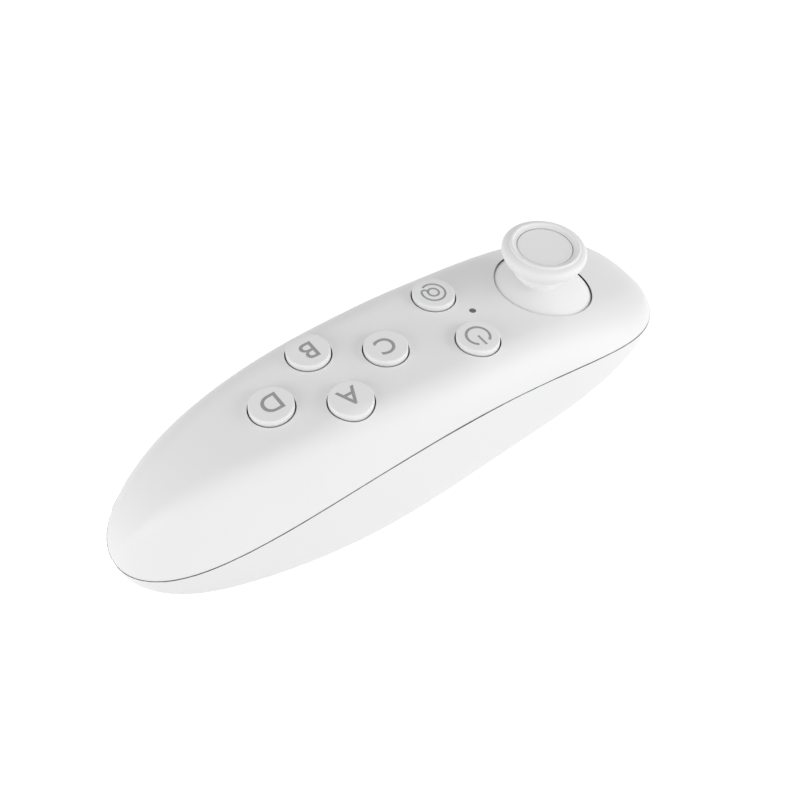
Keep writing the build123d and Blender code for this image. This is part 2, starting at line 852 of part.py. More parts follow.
with BuildPart() as centring_spring:
    coil_foot = frame_floor + frame_wall + spring_wire / 2
    coil_head = spring_seat_top - spring_seat_thickness - spring_wire / 2
    coil_height = coil_head - coil_foot
    with BuildLine() as coil:
        Helix(
            coil_height / spring_turns,
            coil_height,
            spring_radius,
            center=stick_pivot + tilted(stick_lean) * coil_foot,
            direction=tilted(stick_lean),
        )
    with BuildSketch(Plane(origin=coil.line @ 0, z_dir=coil.line % 0)):
        RegularPolygon(spring_wire / 2, wire_sides)
    sweep(is_frenet=True)
finish(centring_spring, "centring_spring")

with BuildPart() as stick_board:
    with BuildSketch(stick_plane.offset(stick_board_bottom)):
        with Locations(((stick_board_back + stick_board_front) / 2, 0)):
            RectangleRounded(
                stick_board_front - stick_board_back, 2 * stick_board_half_width, stick_board_corner
            )
        with Locations(*stick_board_screw_spots):
            Circle(board_screw_radius + fit_gap, mode=Mode.SUBTRACT)
    extrude(amount=stick_board_thickness)
finish(stick_board, "stick_board")

# Triggers with their plungers, switches and board
trigger_switch_top = -trigger_board_depth + switch_height
trigger_plunger_top = trigger_switch_top + plunger_rise
raised = Location(trigger_out * trigger_rise)
sunk = Location(trigger_out * -travel_gap)
trigger_skin = lower_skin.moved(raised)
trigger_inner = lower_form(trigger_wall).moved(raised)
flange_bound = lower_hollow.moved(sunk)
for name, (low, high) in trigger_spans.items():
    middle, span = (low + high) / 2, high - low
    edge = -flange_width if name == "lower" else flange_width
    pocket_span = span - 2 * trigger_wall
    pocket_width = 2 * (trigger_half_width - trigger_wall)
    with BuildPart() as flange:
        with BuildSketch(trigger_plane.offset(-trigger_depth)):
            with Locations((middle + edge / 2, 0)):
                Rectangle(span + flange_width, 2 * (trigger_half_width + flange_width))
            with Locations((middle, 0)):
                Rectangle(pocket_span, pocket_width, mode=Mode.SUBTRACT)
        extrude(amount=length)
        add(flange_bound, mode=Mode.INTERSECT)
    with BuildPart() as pocket:
        with BuildSketch(trigger_plane.offset(-trigger_depth)):
            with Locations((middle, 0)):
                Rectangle(pocket_span, pocket_width)
            with Locations((trigger_switch_spots[name], 0)):
                Circle(stem_radius, mode=Mode.SUBTRACT)
        extrude(amount=length)
        add(trigger_inner, mode=Mode.INTERSECT)
    with BuildPart() as trigger:
        with BuildSketch(trigger_plane.offset(-trigger_depth)):
            with Locations((middle, 0)):
                RectangleRounded(span, 2 * trigger_half_width, trigger_corner)
        extrude(amount=length)
        add(trigger_skin, mode=Mode.INTERSECT)
        add(pocket.part, mode=Mode.SUBTRACT)
        add(flange.part)
        with BuildSketch(trigger_plane.offset(trigger_plunger_top)):
            with Locations((trigger_switch_spots[name], 0)):
                Circle(stem_radius)
        extrude(amount=-trigger_depth - trigger_plunger_top)
    finish(trigger, f"trigger_{name}")

    with BuildPart() as plunger:
        with BuildSketch(trigger_plane.offset(trigger_switch_top - plunger_depth)):
            with Locations((trigger_switch_spots[name], 0)):
                Circle(plunger_radius)
        extrude(amount=plunger_depth + plunger_rise)
    finish(plunger, f"trigger_plunger_{name}")

with BuildPart() as trigger_switches:
    spots = [(along, 0) for along in trigger_switch_spots.values()]
    with BuildSketch(trigger_plane.offset(-trigger_board_depth)):
        with Locations(*spots):
            Rectangle(switch_size, switch_size)
    extrude(amount=switch_height)
    with BuildSketch(trigger_plane.offset(trigger_switch_top)):
        with Locations(*spots):
            Circle(plunger_radius + plunger_gap)
    extrude(amount=-(plunger_depth + trigger_travel + plunger_gap), mode=Mode.SUBTRACT)
finish(trigger_switches, "trigger_switches")

with BuildPart() as trigger_board:
    back, front = trigger_board_span
    ear_back, ear_front = trigger_board_ear
    with BuildSketch(trigger_plane.offset(-trigger_board_depth)):
        with Locations(((back + front) / 2, 0)):
            Rectangle(front - back, 2 * trigger_board_half_width)
        with Locations(((ear_back + ear_front) / 2, 0)):
            Rectangle(ear_front - ear_back, 2 * trigger_board_ear_half_width)
        with Locations(*trigger_board_screw_spots):
            Circle(board_screw_radius + fit_gap, mode=Mode.SUBTRACT)
    extrude(amount=-trigger_board_thickness)
finish(trigger_board, "trigger_board")

# Flexible strips, each along the points of its middle line
half_strip = flex_thickness / 2
stick_flex_start = -frame_half - sensor_depth - flex_margin
trigger_strip_depth = half_strip - trigger_board_depth
stick_flex_points = (
    stick_plane.from_local_coords((stick_flex_start, 0, stick_board_top + half_strip)),
    stick_plane.from_local_coords((stick_board_back - stick_flex_run, 0, stick_board_top + half_strip)),
    Vector(stick_flex_rise_x, 0, board_bottom - half_strip),
    Vector(stick_flex_end_x, 0, board_bottom - half_strip),
)
trigger_flex_points = (
    trigger_plane.from_local_coords((trigger_flex_start, -trigger_flex_y, trigger_strip_depth)),
    trigger_plane.from_local_coords(
        (trigger_board_span[0] - trigger_flex_run, -trigger_flex_y, trigger_strip_depth)
    ),
    stick_plane.from_local_coords((trigger_flex_landing, trigger_flex_y, stick_board_bottom - half_strip)),
    stick_plane.from_local_coords((trigger_flex_end, trigger_flex_y, stick_board_bottom - half_strip)),
)
for name, points in (("stick_flex", stick_flex_points), ("trigger_flex", trigger_flex_points)):
    with BuildPart() as strip:
        with BuildLine() as route:
            FilletPolyline(*points, radius=flex_bend)
        with BuildSketch(Plane(origin=route.line @ 0, x_dir=(0, 1, 0), z_dir=route.line % 0)):
            Rectangle(2 * flex_half_width, flex_thickness)
        sweep()
    finish(strip, name)

# Cells and contacts
cell_step = (contact_spring_height - contact_bump) / 2
for name, side in (("cell_left", 1), ("cell_right", -1)):
    tip = -side
    can_length = cell_length - cell_button_height
    can_foot = Vector(
        bay_middle + tip * (cell_step - cell_length / 2), side * cell_spacing / 2, cell_height
    )
    can_head = can_foot + Vector(tip * can_length, 0, 0)
    with BuildPart() as cell:
        with BuildSketch(Plane(origin=can_foot, z_dir=(tip, 0, 0))):
            Circle(cell_radius)
        extrude(amount=can_length)
        fillet(cell.edges().filter_by(GeomType.CIRCLE), cell_edge)
        with BuildSketch(Plane(origin=can_head, z_dir=(tip, 0, 0))):
            Circle(cell_button_radius)
        extrude(amount=cell_button_height)
    finish(cell, name)

right_tip = bay_front - contact_thickness
left_tip = bay_back + contact_thickness
with BuildPart() as bridge_contact:
    with BuildSketch(Plane(origin=(bay_front, 0, cell_height), x_dir=(0, 1, 0), z_dir=(-1, 0, 0))):
        Rectangle(cell_spacing + 2 * contact_half_width, contact_height)
    extrude(amount=contact_thickness)
    with BuildSketch(
        Plane(origin=(right_tip, -cell_spacing / 2, cell_height), x_dir=(0, 1, 0), z_dir=(-1, 0, 0))
    ):
        Circle(contact_bump_radius)
    extrude(amount=contact_bump, taper=bump_taper)
finish(bridge_contact, "bridge_contact")

for name, side in (("plus_contact", 1), ("minus_contact", -1)):
    with BuildPart() as contact:
        with BuildSketch(
            Plane(
                origin=(bay_back, side * cell_spacing / 2, cell_height), x_dir=(0, 1, 0), z_dir=(1, 0, 0)
            )
        ):
            Rectangle(2 * contact_half_width, contact_height)
            tab_reach = board_bottom - cell_height
            with Locations((0, tab_reach / 2)):
                Rectangle(2 * tab_half_width, tab_reach)
        extrude(amount=contact_thickness)
        if side > 0:
            with BuildSketch(
                Plane(
                    origin=(left_tip, side * cell_spacing / 2, cell_height),
                    x_dir=(0, 1, 0),
                    z_dir=(1, 0, 0),
                )
            ):
                Circle(contact_bump_radius)
            extrude(amount=contact_bump, taper=bump_taper)
    finish(contact, name)

for name, end, side, inward in (
    ("bridge_spring", right_tip, 1, -1),
    ("minus_spring", left_tip, -1, 1),
):
    foot = Vector(end + inward * contact_spring_wire / 2, side * cell_spacing / 2, cell_height)
    rise = contact_spring_height - contact_spring_wire
    with BuildPart() as spring:
        with BuildLine() as coil:
            Helix(
                rise / contact_spring_turns,
                rise,
                contact_spring_radius,
                center=foot,
                direction=(inward, 0, 0),
                cone_angle=-degrees(atan((contact_spring_radius - contact_spring_tip) / rise)),
            )
        with BuildSketch(Plane(origin=coil.line @ 0, z_dir=coil.line % 0)):
            RegularPolygon(contact_spring_wire / 2, wire_sides)
        sweep(is_frenet=True)
    finish(spring, name)

# Screws that hold the shells together
with BuildPart() as shell_screws:
    for x, y, seat, floor in shell_screw_spots:
        head_seat = seat - floor
        with BuildSketch(Plane.XY.offset(head_seat)):
            with Locations((x, y)):
                Circle(screw_head_radius)
        extrude(amount=-screw_head_height)
        with BuildSketch(Plane.XY.offset(head_seat)):
            with Locations((x, y)):
                Circle(screw_radius)
        extrude(amount=screw_length)
finish(shell_screws, "shell_screws")

# Small screws that hold each board
for name, seat_plane, spots, inward in (
    ("board_screws", Plane.XY.offset(board_bottom), board_screw_spots, 1),
    ("stick_board_screws", stick_plane.offset(stick_board_top), stick_board_screw_spots, -1),
    (
        "trigger_board_screws",
        trigger_plane.offset(-trigger_board_depth - trigger_board_thickness),
        trigger_board_screw_spots,
        1,
    ),
):
    with BuildPart() as screws:
        with BuildSketch(seat_plane):
            with Locations(*spots):
                Circle(board_screw_head_radius)
        extrude(amount=-inward * board_screw_head_height)
        with BuildSketch(seat_plane):
            with Locations(*spots):
                Circle(board_screw_radius)
        extrude(amount=inward * board_screw_length)
    finish(screws, name)
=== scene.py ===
import json
import math

import bmesh
import bpy
from bpy.props import FloatProperty, FloatVectorProperty, PointerProperty
from bpy.types import Operator, Panel, PropertyGroup
from mathutils import Matrix, Vector
from mathutils.bvhtree import BVHTree


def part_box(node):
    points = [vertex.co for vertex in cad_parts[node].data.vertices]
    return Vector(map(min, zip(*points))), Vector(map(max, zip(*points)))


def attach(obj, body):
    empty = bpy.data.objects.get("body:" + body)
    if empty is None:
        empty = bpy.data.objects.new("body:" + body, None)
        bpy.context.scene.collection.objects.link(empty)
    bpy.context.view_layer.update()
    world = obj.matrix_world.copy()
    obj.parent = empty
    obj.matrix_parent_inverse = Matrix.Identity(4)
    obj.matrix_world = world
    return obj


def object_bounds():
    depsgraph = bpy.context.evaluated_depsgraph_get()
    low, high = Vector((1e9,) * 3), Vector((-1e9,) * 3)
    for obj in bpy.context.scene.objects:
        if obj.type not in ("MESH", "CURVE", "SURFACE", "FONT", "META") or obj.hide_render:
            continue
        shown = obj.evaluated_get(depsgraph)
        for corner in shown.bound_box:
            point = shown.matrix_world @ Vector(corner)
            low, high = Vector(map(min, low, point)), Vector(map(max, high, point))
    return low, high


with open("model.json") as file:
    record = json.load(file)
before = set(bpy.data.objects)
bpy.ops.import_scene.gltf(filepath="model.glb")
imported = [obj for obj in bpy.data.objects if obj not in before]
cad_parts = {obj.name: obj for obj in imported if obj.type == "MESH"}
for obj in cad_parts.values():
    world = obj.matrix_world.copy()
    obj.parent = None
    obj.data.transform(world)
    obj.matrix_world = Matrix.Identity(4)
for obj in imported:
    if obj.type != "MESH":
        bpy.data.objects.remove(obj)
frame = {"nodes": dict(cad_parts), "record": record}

bl_info = {
    "name": "Thumbstick Remote",
    "version": (1, 0, 0),
    "blender": (4, 5, 0),
    "location": "3D View > Sidebar > Remote",
    "description": "Finishes a hand-held thumbstick remote and sets up its studio",
    "category": "Object",
}

nodes = frame["nodes"]
cad_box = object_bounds()
millimetre = 0.001

# Parting line: its height at both tips, the gap above it, and its rise from tail to nose
tip_height = 25.0 * millimetre
shell_gap = 0.15 * millimetre
parting_poles = [rise * millimetre for rise in (0.0, 7.8, 13.2, 10.2, 5.7, 0.0)]

# Dark strip over the gap, a painted shadow of the gap: how far it stands out of the skin, and how deep it
# reaches behind it
seam_proud = 0.09 * millimetre
seam_depth = 0.4 * millimetre

# Keys of the thumb face that carry a letter
key_letters = {"a": "A", "b": "B", "c": "C", "d": "D"}

# Shared effects, as node groups


def new_group(name, inputs, outputs):
    """Shader node group with its sockets, and its input and output nodes."""
    group = bpy.data.node_groups.new(name, "ShaderNodeTree")
    for label, kind, value in inputs:
        socket = group.interface.new_socket(label, in_out="INPUT", socket_type=kind)
        socket.default_value = value
    for label, kind in outputs:
        group.interface.new_socket(label, in_out="OUTPUT", socket_type=kind)
    entry = group.nodes.new("NodeGroupInput")
    exit_node = group.nodes.new("NodeGroupOutput")
    return group, entry, exit_node


def add_node(tree, kind, **values):
    """Node of that kind, with attributes and inputs set by name."""
    node = tree.nodes.new(kind)
    for label, value in values.items():
        if label in node.inputs:
            node.inputs[label].default_value = value
        else:
            setattr(node, label, value)
    return node


def math_node(tree, operation, first, second):
    """Arithmetic on two values, each a number or a socket."""
    node = add_node(tree, "ShaderNodeMath", operation=operation)
    for place, value in enumerate((first, second)):
        if isinstance(value, (int, float)):
            node.inputs[place].default_value = value
        else:
            tree.links.new(value, node.inputs[place])
    return node.outputs[0]


def object_place(tree):
    """Coordinates that stay with the piece."""
    return add_node(tree, "ShaderNodeTexCoord").outputs["Object"]


def noise(tree, coordinates, scale, detail, roughness=0.5):
    """Noise over the piece, as a value round one half."""
    node = add_node(tree, "ShaderNodeTexNoise", Detail=detail, Roughness=roughness)
    tree.links.new(coordinates, node.inputs["Vector"])
    if isinstance(scale, (int, float)):
        node.inputs["Scale"].default_value = scale
    else:
        tree.links.new(scale, node.inputs["Scale"])
    return node.outputs["Fac"]


def blend_colours(tree, share, first, second):
    """Mix of two colours, each a value or a socket."""
    node = add_node(tree, "ShaderNodeMix", data_type="RGBA")
    share_socket, first_socket, second_socket = node.inputs[0], node.inputs[6], node.inputs[7]
    for value, socket in ((share, share_socket), (first, first_socket), (second, second_socket)):
        if isinstance(value, bpy.types.NodeSocket):
            tree.links.new(value, socket)
        else:
            socket.default_value = value
    return node.outputs[2]


def swing(tree, value, size):
    """A value round one half, as one round nought of that size."""
    return math_node(tree, "MULTIPLY", math_node(tree, "SUBTRACT", value, 0.5), size)


def shaded(tree, colour, change):
    """Colour made lighter or darker by a value round nought."""
    tone = add_node(tree, "ShaderNodeHueSaturation")
    tree.links.new(colour, tone.inputs["Color"])
    tree.links.new(math_node(tree, "ADD", change, 1.0), tone.inputs["Value"])
    return tone.outputs["Color"]


def step_between(tree, value, start, end):
    """Nought where the value is at the start, one where it is at the end."""
    step = add_node(tree, "ShaderNodeMapRange", **{"From Min": start, "From Max": end})
    tree.links.new(value, step.inputs["Value"])
    return step.outputs["Result"]


def moulded_skin():
    """Spark texture, faint flow marks and uneven gloss of an injection moulding."""
    group, entry, leave = new_group(
        "moulded_skin",
        (
            ("Colour", "NodeSocketColor", (0.8, 0.8, 0.8, 1)),
            ("Roughness", "NodeSocketFloat", 0.4),
            ("Grain Scale", "NodeSocketFloat", 2600),
            ("Flow", "NodeSocketFloat", 0.03),
        ),
        (("Colour", "NodeSocketColor"), ("Roughness", "NodeSocketFloat"), ("Height", "NodeSocketFloat")),
    )
    flow_scale = 42
    gloss_swing = 2.0
    speck_size = 0.06
    place = object_place(group)
    grain = noise(group, place, entry.outputs["Grain Scale"], 3, 0.6)
    flow = swing(group, noise(group, place, flow_scale, 2), entry.outputs["Flow"])
    cloudy = math_node(group, "MULTIPLY", flow, gloss_swing)
    uneven = math_node(group, "ADD", entry.outputs["Roughness"], cloudy)
    rough = math_node(group, "ADD", uneven, swing(group, grain, speck_size))
    group.links.new(shaded(group, entry.outputs["Colour"], flow), leave.inputs["Colour"])
    group.links.new(rough, leave.inputs["Roughness"])
    group.links.new(grain, leave.inputs["Height"])
    return group


def edge_polish_and_painted_shade():
    """Polish on the edges that a hand rubs, and painted shade in the corners and gaps."""
    group, entry, leave = new_group(
        "edge_polish_and_painted_shade",
        (
            ("Colour", "NodeSocketColor", (0.8, 0.8, 0.8, 1)),
            ("Roughness", "NodeSocketFloat", 0.4),
            ("Dust", "NodeSocketFloat", 0.1),
            ("Polish", "NodeSocketFloat", 0.1),
        ),
        (("Colour", "NodeSocketColor"), ("Roughness", "NodeSocketFloat")),
    )
    painted_shade_colour = (0.16, 0.155, 0.15, 1)
    painted_shade_reach = 1.2 * millimetre
    # Painted shade: the colour goes towards a dark grey where ambient occlusion finds other surfaces near, in
    # corners and in the gaps between parts
    shelter = add_node(group, "ShaderNodeAmbientOcclusion", Distance=painted_shade_reach, samples=8)
    corner = step_between(group, shelter.outputs["AO"], start=0.45, end=0.1)
    bend = add_node(group, "ShaderNodeNewGeometry").outputs["Pointiness"]
    edge = step_between(group, bend, start=0.51, end=0.60)
    painted_shade_share = math_node(group, "MULTIPLY", corner, entry.outputs["Dust"])
    rubbed = math_node(group, "MULTIPLY", edge, entry.outputs["Polish"])
    colour_with_painted_shade = blend_colours(group, painted_shade_share, entry.outputs["Colour"], painted_shade_colour)
    group.links.new(colour_with_painted_shade, leave.inputs["Colour"])
    smoother = math_node(group, "SUBTRACT", entry.outputs["Roughness"], rubbed)
    group.links.new(smoother, leave.inputs["Roughness"])
    return group


def drawn_metal():
    """Fine lines along one direction, as on drawn wire and rolled strip."""
    group, entry, leave = new_group(
        "drawn_metal",
        (
            ("Colour", "NodeSocketColor", (0.7, 0.7, 0.7, 1)),
            ("Roughness", "NodeSocketFloat", 0.3),
            ("Line Scale", "NodeSocketFloat", 900),
        ),
        (("Colour", "NodeSocketColor"), ("Roughness", "NodeSocketFloat"), ("Height", "NodeSocketFloat")),
    )
    stretch = (0.06, 1.0, 1.0)
    line_tone = 0.22
    haze_scale = 120
    haze_size = 0.2
    place = object_place(group)
    stretched = add_node(group, "ShaderNodeMapping", Scale=stretch)
    group.links.new(place, stretched.inputs["Vector"])
    lines = noise(group, stretched.outputs["Vector"], entry.outputs["Line Scale"], 4, 0.65)
    haze = swing(group, noise(group, place, haze_scale, 2), haze_size)
    rough = math_node(group, "ADD", entry.outputs["Roughness"], haze)
    colour = shaded(group, entry.outputs["Colour"], swing(group, lines, line_tone))
    group.links.new(colour, leave.inputs["Colour"])
    group.links.new(rough, leave.inputs["Roughness"])
    group.links.new(lines, leave.inputs["Height"])
    return group


def shared_group(build):
    """The group of that name, built once."""
    return bpy.data.node_groups.get(build.__name__) or build()


def place_group(tree, build, **values):
    """Group node in a material's tree, with its inputs set by name."""
    node = tree.nodes.new("ShaderNodeGroup")
    node.node_tree = shared_group(build)
    for label, value in values.items():
        node.inputs[label.replace("_", " ")].default_value = value
    return node


# Materials


def new_material(name):
    """Material with its tree and its shader."""
    material = bpy.data.materials.new(name)
    material.use_nodes = True
    return material, material.node_tree, material.node_tree.nodes["Principled BSDF"]


def dress(tree, shader, source):
    """Colour and roughness of a group node, on the shader."""
    tree.links.new(source.outputs["Colour"], shader.inputs["Base Color"])
    tree.links.new(source.outputs["Roughness"], shader.inputs["Roughness"])


def add_bump(tree, shader, height, distance):
    """Relief from a height, on the shader's normal."""
    bump = add_node(tree, "ShaderNodeBump", Strength=1.0, Distance=distance)
    tree.links.new(height, bump.inputs["Height"])
    tree.links.new(bump.outputs["Normal"], shader.inputs["Normal"])


def opaque(colour):
    """Colour with full alpha."""
    return (*colour, 1.0)


def moulded_plastic(name, colour, roughness, grain_depth, grain_scale=2600, flow=0.03, corner_shade=0.8):
    """Injection-moulded plastic, with painted shade in its corners and gaps."""
    material, tree, shader = new_material(name)
    skin = place_group(
        tree, moulded_skin, Colour=opaque(colour), Roughness=roughness, Grain_Scale=grain_scale, Flow=flow
    )
    # Painted shade in corners and gaps, and polish on the edges
    edges = place_group(tree, edge_polish_and_painted_shade, Dust=corner_shade, Polish=0.08)
    tree.links.new(skin.outputs["Colour"], edges.inputs["Colour"])
    tree.links.new(skin.outputs["Roughness"], edges.inputs["Roughness"])
    dress(tree, shader, edges)
    shader.inputs["Specular IOR Level"].default_value = 0.3
    add_bump(tree, shader, skin.outputs["Height"], grain_depth)
    return material


def plain_metal(name, colour):
    """Drawn, rolled or plated metal."""
    line_depth = 0.004 * millimetre
    material, tree, shader = new_material(name)
    metal = place_group(tree, drawn_metal, Colour=opaque(colour), Roughness=0.3, Line_Scale=900)
    shader.inputs["Metallic"].default_value = 1.0
    dress(tree, shader, metal)
    add_bump(tree, shader, metal.outputs["Height"], line_depth)
    return material


def circuit_board(name, colour):
    """Solder mask over copper tracks."""
    track_depth = 0.03 * millimetre
    lighter = 1.9
    warmer = 0.01
    material, tree, shader = new_material(name)
    tracks = add_node(tree, "ShaderNodeTexVoronoi", distance="MANHATTAN", feature="F1", Scale=520)
    tree.links.new(object_place(tree), tracks.inputs["Vector"])
    copper = step_between(tree, tracks.outputs["Distance"], start=0.42, end=0.50)
    over_copper = tuple(min(1.0, channel * lighter + warmer) for channel in colour)
    shade = blend_colours(tree, copper, opaque(colour), opaque(over_copper))
    skin = place_group(tree, moulded_skin, Roughness=0.32, Grain_Scale=1500, Flow=0.05)
    tree.links.new(shade, skin.inputs["Colour"])
    dress(tree, shader, skin)
    add_bump(tree, shader, copper, track_depth)
    return material


def cell_sleeve(name, colour):
    """Shrunk sleeve of a cell, with faint wraps round the can."""
    wrap_depth = 0.008 * millimetre
    material, tree, shader = new_material(name)
    wraps = add_node(tree, "ShaderNodeTexWave", Scale=300, Distortion=1.5, Detail=2)
    tree.links.new(object_place(tree), wraps.inputs["Vector"])
    skin = place_group(tree, moulded_skin, Colour=opaque(colour), Roughness=0.25, Grain_Scale=1800, Flow=0.06)
    dress(tree, shader, skin)
    add_bump(tree, shader, wraps.outputs["Fac"], wrap_depth)
    return material


def smoked_pipe(name, colour):
    """Smoked clear plastic of the status light."""
    material, tree, shader = new_material(name)
    skin = place_group(tree, moulded_skin, Colour=opaque(colour), Roughness=0.12, Grain_Scale=3000, Flow=0.05)
    dress(tree, shader, skin)
    shader.inputs["Coat Weight"].default_value = 0.4
    return material


def flex_strip(name, colour):
    """Amber film over copper tracks that run along the strip."""
    track_depth = 0.02 * millimetre
    darker = 0.62
    material, tree, shader = new_material(name)
    tracks = add_node(tree, "ShaderNodeTexWave", bands_direction="Y", Scale=780)
    tree.links.new(object_place(tree), tracks.inputs["Vector"])
    copper = step_between(tree, tracks.outputs["Fac"], start=0.4, end=0.6)
    over_copper = tuple(darker * channel for channel in colour)
    shade = blend_colours(tree, copper, opaque(colour), opaque(over_copper))
    skin = place_group(tree, moulded_skin, Roughness=0.22, Grain_Scale=1500, Flow=0.05)
    tree.links.new(shade, skin.inputs["Colour"])
    dress(tree, shader, skin)
    add_bump(tree, shader, copper, track_depth)
    return material


def record_colour(slot):
    """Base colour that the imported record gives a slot."""
    for entry in frame["record"]["materials"]:
        if entry["slot"] == slot:
            return tuple(entry["base_color"][:3])
    raise ValueError(f"no slot named {slot}")


def slot_of(node):
    """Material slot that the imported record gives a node."""
    for entry in frame["record"]["subparts"]:
        if entry["node"] == node:
            return entry["material_slot"]
    raise ValueError(f"no sub-part named {node}")


def paint(slots, material_for):
    """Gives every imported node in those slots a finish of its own, in place of its plain one."""
    for slot in sorted(slots):
        plain_finish = bpy.data.materials.get(slot)
        if plain_finish:
            bpy.data.materials.remove(plain_finish)
        material = material_for(slot)
        for node, piece in nodes.items():
            if slot_of(node) == slot:
                piece.data.materials.clear()
                piece.data.materials.append(material)


def new_object(name, data):
    """Object of that name, in the scene."""
    thing = bpy.data.objects.new(name, data)
    bpy.context.scene.collection.objects.link(thing)
    return thing


# Seam between the two shells, and a dark strip over it as its painted shadow


def parting_height(x):
    """Height of the parting line at x, a Bezier curve over the remote's length."""
    share = (x - cad_box[0][0]) / (cad_box[1][0] - cad_box[0][0])
    last = len(parting_poles) - 1
    weights = [math.comb(last, i) * share**i * (1 - share) ** (last - i) for i in range(last + 1)]
    return tip_height + sum(weight * pole for weight, pole in zip(weights, parting_poles))


def rim_spot(tree, skin, outward):
    """Outer edge of the bottom shell's rim, straight above a point just below it on the skin."""
    near = 1.0 * millimetre
    edge = 0.03 * millimetre
    low, high = 0.0, 0.8 * millimetre
    halvings = 12
    spot = skin
    for _ in range(halvings):
        rise = (low + high) / 2
        start = skin + near * outward + Vector((0, 0, rise))
        reach = (start - spot).dot(outward) + edge
        hit = tree.ray_cast(start, -outward, reach)[0]
        if hit is None:
            high = rise
        else:
            low = rise
            spot = hit
    return spot


def seam_spots():
    """Points round the housing on the outer edge of the bottom shell's rim."""
    tree = BVHTree.FromObject(nodes["bottom_shell"], bpy.context.evaluated_depsgraph_get())
    half_length, half_width = cad_box[1][:2]
    reach = half_length - half_width
    outside = 0.1
    # Each ray starts nearer to the rim than the one before, so that none passes over it
    steps_below = [below * millimetre for below in (3.0, 1.2, 0.6, 0.6)]
    count = 360
    spots = []
    for i in range(count):
        turn = 2 * math.pi * i / count
        outward = Vector((math.cos(turn), math.sin(turn), 0))
        middle = Vector((reach * outward.x, 0, 0))
        spot = middle + half_width * outward
        for below in steps_below:
            start = middle + outside * outward + Vector((0, 0, parting_height(spot.x) - below))
            spot = tree.ray_cast(start, -outward)[0]
        spots.append(rim_spot(tree, spot, outward))
    return spots


def seam_ring(width):
    """Closed dark ring over the gap between the shells, nearly flush with their skins: a painted shadow of
    the gap.
    """
    spots = [spot + Vector((0, 0, shell_gap / 2)) for spot in seam_spots()]
    solid = bmesh.new()
    rings = []
    half = Vector((0, 0, width / 2))
    for i, spot in enumerate(spots):
        along = spots[(i + 1) % len(spots)] - spots[i - 1]
        outward = Vector((along.y, -along.x, 0)).normalized()
        outer = spot + seam_proud * outward
        inner = spot - seam_depth * outward
        corners = (outer + half, outer - half, inner - half, inner + half)
        rings.append([solid.verts.new(corner) for corner in corners])
    for ring, following in zip(rings, rings[1:] + rings[:1]):
        for i in range(4):
            j = (i + 1) % 4
            solid.faces.new((ring[i], ring[j], following[j], following[i]))
    bmesh.ops.recalc_face_normals(solid, faces=solid.faces)
    mesh = bpy.data.meshes.new("parting_seam_shadow")
    solid.to_mesh(mesh)
    solid.free()
    return mesh


# Key marks


def letter_face(mark, height):
    """Flat face of one capital letter, centred on its own box."""
    thicker = 0.008
    curve = bpy.data.curves.new("mark", "FONT")
    curve.body = mark
    curve.fill_mode = "FRONT"
    curve.resolution_u = 8
    curve.offset = thicker
    holder = bpy.data.objects.new("mark", curve)
    mesh = bpy.data.meshes.new_from_object(holder)
    bpy.data.objects.remove(holder)
    face = bmesh.new()
    face.from_mesh(mesh)
    bpy.data.meshes.remove(mesh)
    bpy.data.curves.remove(curve)
    low = Vector([min(v.co[i] for v in face.verts) for i in range(3)])
    high = Vector([max(v.co[i] for v in face.verts) for i in range(3)])
    scale = height / (high.y - low.y)
    for vertex in face.verts:
        vertex.co = (vertex.co - (low + high) / 2) * scale
    return face


def arc_path(centre, radius, start, turn):
    """Points along an arc, close enough together to look round."""
    spacing = 0.12 * millimetre
    count = max(8, round(abs(turn) * radius / spacing))
    angles = [start + turn * i / count for i in range(count + 1)]
    return [centre + radius * Vector((math.cos(angle), math.sin(angle), 0)) for angle in angles]


def add_stroke(face, path, width):
    """Adds a flat line of that width along a path of points."""
    rails = []
    for i, point in enumerate(path):
        along = path[min(i + 1, len(path) - 1)] - path[max(i - 1, 0)]
        side = Vector((-along.y, along.x, 0)).normalized() * width / 2
        rails.append((face.verts.new(point + side), face.verts.new(point - side)))
    for (left, right), (next_left, next_right) in zip(rails, rails[1:]):
        face.faces.new((left, right, next_right, next_left))


def standby_face(radius, width):
    """Standby sign: a ring that is open at the top, with a bar in the opening."""
    face = bmesh.new()
    middle = radius - width / 2
    half_opening = math.radians(32)
    ring = arc_path(Vector(), middle, math.pi / 2 + half_opening, 2 * (math.pi - half_opening))
    add_stroke(face, ring, width)
    bar_length = 1.05 * radius
    bar_width = 0.85 * width
    bar_steps = 10
    bar = [Vector((0, bar_length * i / bar_steps, 0)) for i in range(bar_steps + 1)]
    add_stroke(face, bar, bar_width)
    return face


def at_sign_face(radius, width):
    """At sign of two rings, with a small hook from the inner ring to the outer one."""
    face = bmesh.new()
    outer = radius - width / 2
    inner = 0.46 * outer
    free_end = math.radians(-61)
    hook_end = math.radians(-27)
    hook_radius = (outer - inner) / 2
    hook_centre = (outer + inner) / 2 * Vector((math.cos(hook_end), math.sin(hook_end), 0))
    sweep = arc_path(Vector(), outer, free_end, hook_end - free_end - 2 * math.pi)
    hook = arc_path(hook_centre, hook_radius, hook_end, -math.pi)
    ring = arc_path(Vector(), inner, hook_end, 2 * math.pi)
    add_stroke(face, sweep + hook[1:] + ring[1:], width)
    return face


